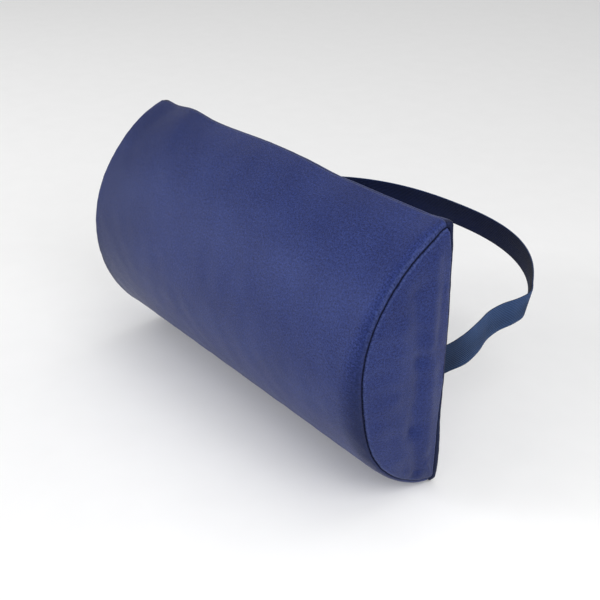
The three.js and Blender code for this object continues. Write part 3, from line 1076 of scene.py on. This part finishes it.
def make_coil(sign, name, node):
    """One row of the coil: a flattened helix of stiff thread, with its head towards the middle."""
    low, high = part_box(node)
    length = high.x - low.x - COIL_PITCH
    turns = int(length / COIL_PITCH)
    per_turn = 9
    steps = np.arange(turns * per_turn + 1)
    angle = 2 * math.pi * steps / per_turn
    half_y = (high.y - low.y - COIL_WIRE) / 2
    half_z = (high.z - low.z + COIL_OVERLAP - COIL_WIRE) / 2
    middle_z = (low.z + high.z) / 2 - sign * COIL_OVERLAP / 2
    x = low.x + COIL_PITCH / 2 + COIL_PITCH * steps / per_turn
    x = x + sign * 0.25 * COIL_PITCH
    head = np.cos(angle)
    middle = np.stack(
        [x, half_y * np.sin(angle), middle_z - sign * half_z * head], axis=-1
    )
    tangent = unit(np.gradient(middle, axis=0))
    beside = unit(np.cross(tangent, [1.0, 0, 0]))
    other = np.cross(tangent, beside)
    sides = 5
    fat = 1 + 0.35 * np.clip(head, 0, 1)
    rings = [
        middle
        + (beside * math.cos(2 * math.pi * k / sides) + other * math.sin(2 * math.pi * k / sides))
        * (COIL_WIRE / 2 * fat)[:, None]
        for k in range(sides + 1)
    ]
    points = np.stack(rings, axis=1)
    rows, columns = points.shape[:2]
    faces = list(grid_faces(rows, columns))
    faces += [list(range(sides))[::-1], [(rows - 1) * columns + j for j in range(sides)]]
    coil = new_object(name, points.reshape(-1, 3), faces)
    tidy_mesh(coil, (0, 5, middle_z))
    return coil


# ------------------------------------------------------------------ materials


class Graph:
    """A short way to write a material's nodes."""

    def __init__(self, name):
        self.material = bpy.data.materials.new(name)
        self.material.use_nodes = True
        self.tree = self.material.node_tree
        self.shader = self.tree.nodes["Principled BSDF"]

    def set(self, socket, value):
        if isinstance(value, bpy.types.NodeSocket):
            self.tree.links.new(value, socket)
        else:
            socket.default_value = value

    def add(self, kind, inputs=(), output=0, **settings):
        node = self.tree.nodes.new(kind)
        for key, value in settings.items():
            setattr(node, key, value)
        for key, value in dict(inputs).items():
            self.set(node.inputs[key], value)
        return node.outputs[output]

    def math(self, operation, a, b=0.0, clamp=False):
        return self.add("ShaderNodeMath", {0: a, 1: b}, operation=operation, use_clamp=clamp)

    def scaled(self, vector, factors):
        return self.add("ShaderNodeVectorMath", {0: vector, 1: factors}, operation="MULTIPLY")

    def noise(self, vector, scale, detail=2.0, roughness=0.5):
        inputs = {"Vector": vector, "Scale": scale, "Detail": detail, "Roughness": roughness}
        return self.add("ShaderNodeTexNoise", inputs)

    def spread(self, value, low, high, to_low=0.0, to_high=1.0):
        inputs = {0: value, 1: low, 2: high, 3: to_low, 4: to_high}
        return self.add("ShaderNodeMapRange", inputs)

    def mix(self, factor, a, b, blend="MIX"):
        node = self.tree.nodes.new("ShaderNodeMix")
        node.data_type = "RGBA"
        node.blend_type = blend
        self.set(node.inputs[0], factor)
        self.set(node.inputs[6], a)
        self.set(node.inputs[7], b)
        return node.outputs[2]

    def bump(self, height, distance, strength=1.0, under=None):
        inputs = {"Height": height, "Distance": distance, "Strength": strength}
        if under is not None:
            inputs["Normal"] = under
        return self.add("ShaderNodeBump", inputs)

    def finish(self, **inputs):
        for key, value in inputs.items():
            self.set(self.shader.inputs[key.replace("_", " ")], value)
        return self.material


def grey(value):
    return (value, value, value, 1.0)


def colour(red, green, blue):
    return (red, green, blue, 1.0)


def cloth_coordinates(g):
    """The cloth's own coordinates in millimetres, and its two separate directions."""
    uv = g.add("ShaderNodeUVMap", uv_map="weave")
    place = g.scaled(uv, (1000.0, 1000.0, 1000.0))
    split = g.tree.nodes.new("ShaderNodeSeparateXYZ")
    g.set(split.inputs[0], place)
    return place, split.outputs[0], split.outputs[1]


def plain_weave(g, u, v, pitch):
    """Height of a plain weave: threads over and under each other at every crossing."""
    a = g.math("SINE", g.math("MULTIPLY", u, math.pi / pitch))
    b = g.math("SINE", g.math("MULTIPLY", v, math.pi / pitch))
    crossing = g.math("MULTIPLY", a, b)
    ridges = g.math("ADD", g.math("ABSOLUTE", a), g.math("ABSOLUTE", b))
    return g.math("ADD", g.math("MULTIPLY", crossing, 0.5), g.math("MULTIPLY", ridges, 0.5))


def cover_material():
    g = Graph("cover_cloth")
    place, u, v = cloth_coordinates(g)
    weave = plain_weave(g, u, v, 0.55)
    warp = g.noise(g.scaled(place, (2.2, 0.07, 1.0)), 1.0, 2.0)
    weft = g.noise(g.scaled(place, (0.07, 2.2, 1.0)), 1.0, 2.0)
    slub = g.math("ADD", g.spread(warp, 0.62, 0.78), g.spread(weft, 0.62, 0.78))
    mottle = g.noise(place, 0.42, 3.0, 0.6)
    grain = g.noise(place, 0.8, 3.0, 0.8)
    patches = g.noise(place, 0.025, 2.0)
    edge = g.add("ShaderNodeAttribute", attribute_name="seam", output=2)

    deep = colour(0.009, 0.015, 0.080)
    pale = colour(0.023, 0.036, 0.142)
    tone = g.math("ADD", g.math("MULTIPLY", mottle, 0.62), g.math("MULTIPLY", patches, 0.38))
    tone = g.math("ADD", g.spread(tone, 0.3, 0.7), g.math("MULTIPLY", slub, 0.18), clamp=True)
    base = g.mix(tone, deep, pale)
    thread = g.math("MULTIPLY", g.spread(weave, 0.0, 1.4, 0.82, 1.1), g.spread(grain, 0.38, 0.62, 0.46, 1.62))
    base = g.mix(1.0, base, g.add("ShaderNodeCombineColor", {0: thread, 1: thread, 2: thread}), "MULTIPLY")
    shade = g.add("ShaderNodeAttribute", attribute_name="shade", output=2)
    # a lighter band close to the seams: partly wear of the cloth, partly a painted highlight along the seams'
    # rolled edges; none where painted shade lies
    wear_and_highlight = g.math("MULTIPLY", g.spread(edge, 0.34, 0.52), g.spread(g.noise(place, 0.8, 3.0), 0.3, 0.7))
    wear_and_highlight = g.math("MULTIPLY", wear_and_highlight, g.spread(shade, 0.1, 0.5, 1.0, 0.0))
    base = g.mix(g.math("MULTIPLY", wear_and_highlight, 0.30), base, colour(0.10, 0.13, 0.28))
    # painted shade: the cloth's colour goes near black in the seams' grooves
    painted_groove_shade = g.math("MULTIPLY", g.spread(edge, 0.83, 0.95), g.spread(mottle, 0.35, 0.60, 0.55, 1.0))
    base = g.mix(painted_groove_shade, base, colour(0.004, 0.005, 0.018))
    # painted shade from the panels' 'shade' attribute darkens the colour towards near black
    base = g.mix(g.math("MULTIPLY", shade, 0.78), base, colour(0.004, 0.006, 0.024))

    cells = g.tree.nodes.new("ShaderNodeTexVoronoi")
    cells.inputs["Scale"].default_value = 0.034
    g.set(cells.inputs["Vector"], place)
    speck = g.spread(cells.outputs["Distance"], 0.010, 0.014, 1.0, 0.0)
    chosen = g.math("GREATER_THAN", g.add("ShaderNodeSeparateColor", {0: cells.outputs["Color"]}), 0.45)
    lint = g.math("MULTIPLY", speck, chosen)
    base = g.mix(g.math("MULTIPLY", lint, 0.4), base, colour(0.30, 0.34, 0.44))

    fuzz = g.noise(place, 5.0, 3.0, 0.7)
    normal = g.bump(weave, 0.00014, 0.6)
    normal = g.bump(slub, 0.00012, 0.5, normal)
    normal = g.bump(mottle, 0.0006, 0.22, normal)
    rough = g.spread(fuzz, 0.3, 0.7, 0.38, 0.50)
    return g.finish(
        Base_Color=base,
        Roughness=rough,
        Normal=normal,
        Specular_IOR_Level=0.35,
        Specular_Tint=colour(0.36, 0.46, 1.0),
        Sheen_Weight=0.03,
        Sheen_Roughness=0.35,
        Sheen_Tint=colour(0.70, 0.78, 1.0),
    )


def strap_material():
    g = Graph("strap_elastic")
    place, u, v = cloth_coordinates(g)
    inner = g.add("ShaderNodeAttribute", attribute_name="inner", output=2)
    cross = g.math("SINE", g.math("MULTIPLY", u, 2 * math.pi / 0.85))
    fibre = g.noise(g.scaled(place, (0.5, 3.0, 1.0)), 1.0, 3.0, 0.6)
    pitch = (STRAP_WIDTH - 2 * STRAP_HALF_THICK) / MM / STRAP_RIBS
    valley = g.math("ABSOLUTE", g.math("SINE", g.math("MULTIPLY", v, math.pi / pitch)))
    patches = g.noise(place, 0.05, 2.0)
    outer = g.mix(g.spread(fibre, 0.3, 0.7), colour(0.018, 0.042, 0.108), colour(0.038, 0.072, 0.170))
    # painted shade: the inner face gets a far darker copy of the elastic's colour than the outer face, mixed
    # in by the 'inner' mark
    back = g.mix(g.spread(fibre, 0.3, 0.7), colour(0.003, 0.006, 0.028), colour(0.006, 0.010, 0.044))
    base = g.mix(inner, outer, back)
    # painted light and shade across the ribs: darker in the grooves between them, lighter on their tops, with
    # random patches
    tone = g.math("MULTIPLY", g.spread(valley, 0.3, 0.95, 0.32, 1.4), g.spread(patches, 0.3, 0.7, 0.9, 1.1))
    # painted shade on the strap where it comes out of the right-hand seam, fading over its first 20 to 48 mm
    painted_exit_shade = g.spread(u, 20.0, 48.0, 0.42, 1.0)
    tone = g.math("MULTIPLY", tone, painted_exit_shade)
    base = g.mix(1.0, base, g.add("ShaderNodeCombineColor", {0: tone, 1: tone, 2: tone}), "MULTIPLY")
    normal = g.bump(cross, 0.00008, 0.5)
    normal = g.bump(fibre, 0.00008, 0.5, normal)
    return g.finish(
        Base_Color=base,
        Roughness=g.spread(fibre, 0.2, 0.8, 0.55, 0.8),
        Normal=normal,
        Specular_IOR_Level=0.16,
        Specular_Tint=colour(0.50, 0.65, 1.0),
    )


def tape_material():
    g = Graph("zip_tape")
    place, u, v = cloth_coordinates(g)
    fold = g.math("PINGPONG", v, 1.2)
    chevron = g.math("SINE", g.math("MULTIPLY", g.math("ADD", u, fold), 2 * math.pi / 0.9))
    fibre = g.noise(place, 3.0, 3.0, 0.6)
    tone = g.math("ADD", g.spread(chevron, -1.0, 1.0, 0.0, 0.6), g.math("MULTIPLY", fibre, 0.4))
    base = g.mix(tone, colour(0.016, 0.020, 0.062), colour(0.034, 0.042, 0.112))
    normal = g.bump(chevron, 0.00010, 0.6)
    return g.finish(
        Base_Color=base, Roughness=g.spread(fibre, 0.3, 0.7, 0.7, 0.9), Normal=normal, Sheen_Weight=0.2
    )


def solid_material(
    name, dark, light, rough, grain, depth, metallic=0.0, stretch=(1.0, 1.0, 1.0), specular=0.5
):
    """A plain stuff with its own grain, mapped through the object's coordinates."""
    g = Graph(name)
    place = g.add("ShaderNodeTexCoord", output=3)
    place = g.scaled(place, tuple(1000.0 * s for s in stretch))
    fine = g.noise(place, grain, 4.0, 0.6)
    broad = g.noise(place, grain * 0.12, 2.0)
    tone = g.math("ADD", g.math("MULTIPLY", fine, 0.6), g.math("MULTIPLY", broad, 0.4))
    base = g.mix(g.spread(tone, 0.3, 0.7), dark, light)
    return g.finish(
        Base_Color=base,
        Roughness=g.spread(fine, 0.3, 0.7, rough[0], rough[1]),
        Normal=g.bump(fine, depth, 0.6),
        Specular_IOR_Level=specular,
        Metallic=metallic,
    )


def foam_material():
    g = Graph("foam")
    place = g.scaled(g.add("ShaderNodeTexCoord", output=3), (1000.0, 1000.0, 1000.0))
    cells = g.tree.nodes.new("ShaderNodeTexVoronoi")
    cells.inputs["Scale"].default_value = 1.1
    g.set(cells.inputs["Vector"], place)
    pores = cells.outputs["Distance"]
    base = g.mix(g.spread(pores, 0.0, 0.6), colour(0.52, 0.45, 0.30), colour(0.78, 0.72, 0.56))
    rough = g.spread(pores, 0, 1, 0.85, 1.0)
    return g.finish(Base_Color=base, Roughness=rough, Normal=g.bump(pores, 0.0004, 0.7))


# ------------------------------------------------------------------ the pieces

COVER = cover_material()
THREAD_LOOK = solid_material(
    "thread", colour(0.004, 0.005, 0.016), colour(0.010, 0.013, 0.036),
    (0.6, 0.8), 6.0, 0.00005, specular=0.15,
)
COIL_LOOK = solid_material(
    "zip_coil", colour(0.016, 0.020, 0.060), colour(0.030, 0.036, 0.095), (0.28, 0.42), 2.0, 0.00003
)
METAL_LOOK = solid_material(
    "zip_metal", colour(0.42, 0.42, 0.44), colour(0.62, 0.62, 0.63),
    (0.24, 0.42), 3.0, 0.00003, 1.0, (0.3, 2.0, 2.0),
)


def place(piece, look, slot, nodes=(), body="cushion"):
    piece.data.materials.clear()
    piece.data.materials.append(look)
    if body:
        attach(piece, body)
    if nodes:
        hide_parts(*nodes)
    return piece


front = place(
    make_front(), COVER, "cover_cloth", ("front_panel", "seam_allowance_top", "seam_allowance_bottom")
)
end_right = place(
    make_end(1, "cover_end_right"), COVER, "cover_cloth", ("end_panel_right", "seam_allowance_right")
)
end_left = place(
    make_end(-1, "cover_end_left"), COVER, "cover_cloth", ("end_panel_left", "seam_allowance_left")
)
back_upper = place(make_back(True, "cover_back_upper"), COVER, "cover_cloth", ("back_panel_upper",))
back_lower = place(make_back(False, "cover_back_lower"), COVER, "cover_cloth", ("back_panel_lower",))
foam = place(make_foam(), foam_material(), "foam", ("foam_core",))

strap, strap_length = make_strap()
place(strap, strap_material(), "strap_elastic", ("strap_loop", "strap_end_right", "strap_end_left"), None)
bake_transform(strap)

TAPE_LOOK = tape_material()
for sign, word in ((1, "upper"), (-1, "lower")):
    tape, (tape_width, tape_length) = make_tape(sign, f"tape_{word}", f"zip_tape_{word}")
    place(tape, TAPE_LOOK, "zip_tape", (f"zip_tape_{word}",))
    node = f"zip_coil_{word}"
    coil = place(make_coil(sign, f"coil_{word}", node), COIL_LOOK, "zip_coil", (node,))
    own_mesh(coil)

for side in (1, -1):
    place(seam_stitches(side), THREAD_LOOK, "seam_cloth")
place(long_stitches(), THREAD_LOOK, "seam_cloth")
place(zip_stitches(), THREAD_LOOK, "seam_cloth")

for node in (
    "zip_slider", "zip_pull", "zip_bottom_stop", "zip_top_stop_upper", "zip_top_stop_lower"
):
    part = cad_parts[node]
    for material_slot in part.material_slots:
        material_slot.material = METAL_LOOK
    rounded = part.modifiers.new("rounded edges", "BEVEL")
    rounded.width = 0.22 * MM
    rounded.segments = 2
    rounded.limit_method = "ANGLE"
    rounded.angle_limit = math.radians(35)
    rounded.harden_normals = False

# ------------------------------------------------------------------ floor and light

visual_low, visual_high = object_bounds()
floor_z = visual_low.z - 0.3 * MM
floor_look = Graph("pale_floor")
grain = floor_look.noise(floor_look.add("ShaderNodeTexCoord", output=3), 30.0, 2.0)
floor_look.finish(
    Base_Color=floor_look.mix(grain, grey(0.90), grey(0.93)),
    Roughness=0.9,
    Specular_IOR_Level=0.1,
)
size = 6.0
floor = new_object(
    "floor",
    [(-size, -size, floor_z), (size, -size, floor_z), (size, size, floor_z), (-size, size, floor_z)],
    [(0, 1, 2, 3)],
)
floor.data.materials.append(floor_look.material)

world = bpy.data.worlds.new("studio")
world.use_nodes = True
world.node_tree.nodes["Background"].inputs[0].default_value = (1.0, 1.0, 1.0, 1.0)
world.node_tree.nodes["Background"].inputs[1].default_value = 0.6
bpy.context.scene.world = world
bpy.context.scene.view_settings.view_transform = "Standard"


def soft_light(name, direction, distance, width, power):
    """A square studio light, aimed at the middle of the cushion."""
    data = bpy.data.lights.new(name, "AREA")
    data.shape = "SQUARE"
    data.size = width
    data.energy = power
    light = bpy.data.objects.new(name, data)
    light.location = Vector(direction).normalized() * distance
    light.rotation_euler = light.location.to_track_quat("Z", "Y").to_euler()
    bpy.context.scene.collection.objects.link(light)


soft_light("key", (-0.58, -0.74, 0.37), 2.4, 1.0, 26.0)
soft_light("top", (0.0, 0.25, 1.0), 1.8, 1.2, 5.0)
soft_light("fill", (0.8, -0.2, 0.6), 0.8, 0.5, 2.8)
